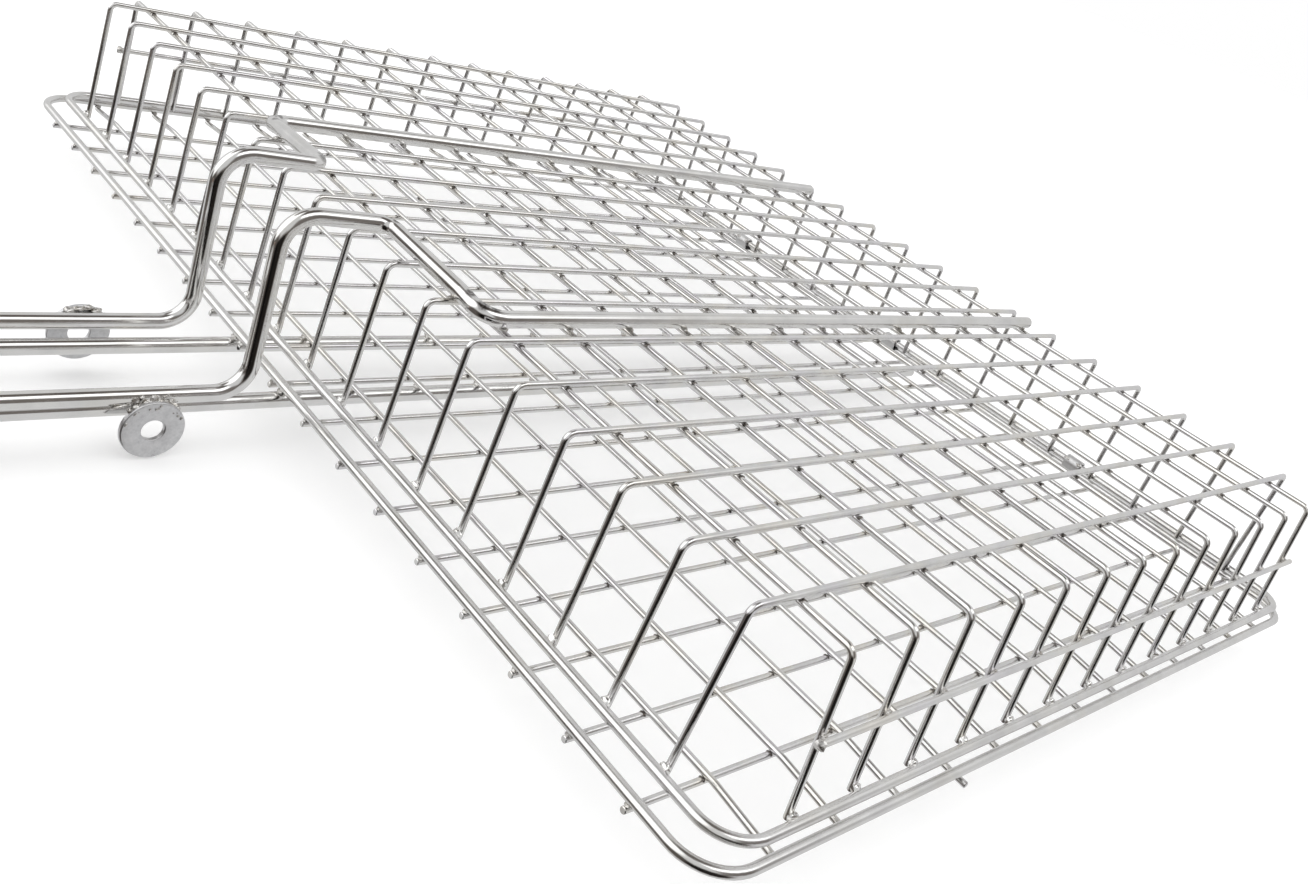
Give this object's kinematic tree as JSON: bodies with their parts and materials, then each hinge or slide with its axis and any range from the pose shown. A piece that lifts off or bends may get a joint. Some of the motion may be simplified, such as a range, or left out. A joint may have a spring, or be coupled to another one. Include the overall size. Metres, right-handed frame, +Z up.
{
  "type": "grill basket",
  "caption": "Stainless wire grill basket: a deep mesh lid hinged over a flat mesh tray, with paired handle rods, a sliding lock ring and a wooden grip.",
  "frame": {"origin": "centre of the bounding box's bottom face, level with the bottom edge of the lower guide washer", "axes": "+X from the handle to the hinged far end, +Y towards the left-hand side seen from the handle, +Z up out of the lid"},
  "size_m": [0.681, 0.4448, 0.0769],
  "materials": {
    "polished_steel": "polished",
    "rim_steel": "polished",
    "washer_steel": "satin",
    "hardwood": "oiled",
    "rivet_steel": "satin"
  },
  "bodies": {
    "tray": {"tray_mesh": "polished_steel", "tray_rim": "rim_steel", "tray_rod_left": "polished_steel", "tray_rod_right": "polished_steel", "grip_upper": "hardwood", "grip_lower": "hardwood", "grip_rivet_front": "rivet_steel", "grip_rivet_middle": "rivet_steel", "grip_rivet_rear": "rivet_steel"},
    "lid": {"lid_mesh": "polished_steel", "lid_rim": "rim_steel", "lid_side_rail_left": "polished_steel", "lid_side_rail_right": "polished_steel", "lid_rod_left": "polished_steel", "lid_rod_right": "polished_steel", "guide_washer_left": "washer_steel", "guide_washer_right": "washer_steel", "thumb_plate": "washer_steel", "hinge_clip_left": "washer_steel", "hinge_clip_middle": "washer_steel", "hinge_clip_right": "washer_steel"},
    "ring": {"lock_ring": "rim_steel"},
    "bail": {"hanging_bail": "rim_steel"}
  },
  "joints": [
    {"name": "lid_hinge", "type": "hinge", "parent": "tray", "child": "lid", "pos_m": [0.33772, 0, 0.0167], "axis": [0, 1, 0], "range_deg": [0, 120]},
    {"name": "lock_ring_slide", "type": "slide", "parent": "tray", "child": "ring", "axis": [1, 0, 0], "range_m": [0, 0.0395]},
    {"name": "bail_pivot", "type": "hinge", "parent": "tray", "child": "bail", "pos_m": [-0.33248, 0, 0.0257], "axis": [0, 1, 0], "range_deg": [-50, 230]}
  ]
}
